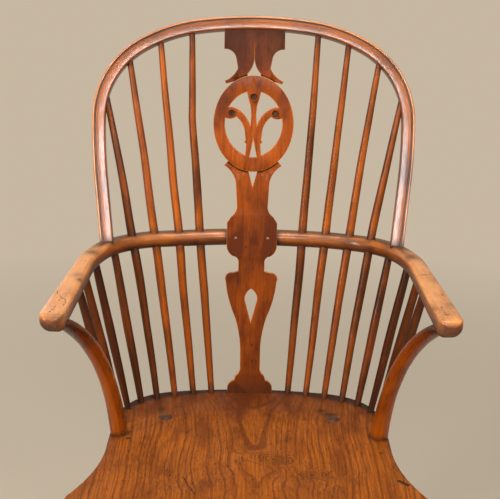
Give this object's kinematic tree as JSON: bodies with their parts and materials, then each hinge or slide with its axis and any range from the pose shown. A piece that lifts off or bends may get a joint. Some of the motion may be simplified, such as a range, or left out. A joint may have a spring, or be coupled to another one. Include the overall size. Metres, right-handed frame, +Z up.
{
  "type": "wheelback windsor armchair",
  "caption": "Double-bow Windsor armchair in elm and turned hardwood, with a pierced wheel splat, bent arm posts, turned legs and an H-shaped stretcher.",
  "frame": {"origin": "on the floor, in the middle of the chair's overall width and depth", "axes": "+Z up, the sitter faces -Y, +X to the right in a view along +Y from the front"},
  "size_m": [0.5664, 0.5723, 1.0421],
  "materials": {
    "elm_seat": "worn wax polish",
    "arm_wood": "worn wax polish, pale on the hands",
    "top_bow_wood": "glossy wax polish",
    "splat_wood": "glossy wax polish",
    "spindle_wood": "glossy wax polish",
    "post_wood": "glossy wax polish",
    "leg_wood": "wax polish",
    "peg_wood": "dark wax"
  },
  "bodies": {
    "root": {"seat": "elm_seat", "arm_bow": "arm_wood", "top_bow": "top_bow_wood", "splat": "splat_wood", "long_spindle_left_1": "spindle_wood", "short_spindle_left_1": "spindle_wood", "long_spindle_left_2": "spindle_wood", "short_spindle_left_2": "spindle_wood", "long_spindle_left_3": "spindle_wood", "short_spindle_left_3": "spindle_wood", "long_spindle_left_4": "spindle_wood", "short_spindle_left_4": "spindle_wood", "arm_post_left": "post_wood", "leg_front_left": "leg_wood", "leg_rear_left": "leg_wood", "side_stretcher_left": "leg_wood", "long_spindle_right_1": "spindle_wood", "short_spindle_right_1": "spindle_wood", "long_spindle_right_2": "spindle_wood", "short_spindle_right_2": "spindle_wood", "long_spindle_right_3": "spindle_wood", "short_spindle_right_3": "spindle_wood", "long_spindle_right_4": "spindle_wood", "short_spindle_right_4": "spindle_wood", "arm_post_right": "post_wood", "leg_front_right": "leg_wood", "leg_rear_right": "leg_wood", "side_stretcher_right": "leg_wood", "cross_stretcher": "leg_wood", "splat_pegs": "peg_wood", "top_bow_pegs": "peg_wood", "hand_pegs": "peg_wood", "leg_wedges": "peg_wood"}
  },
  "joints": []
}
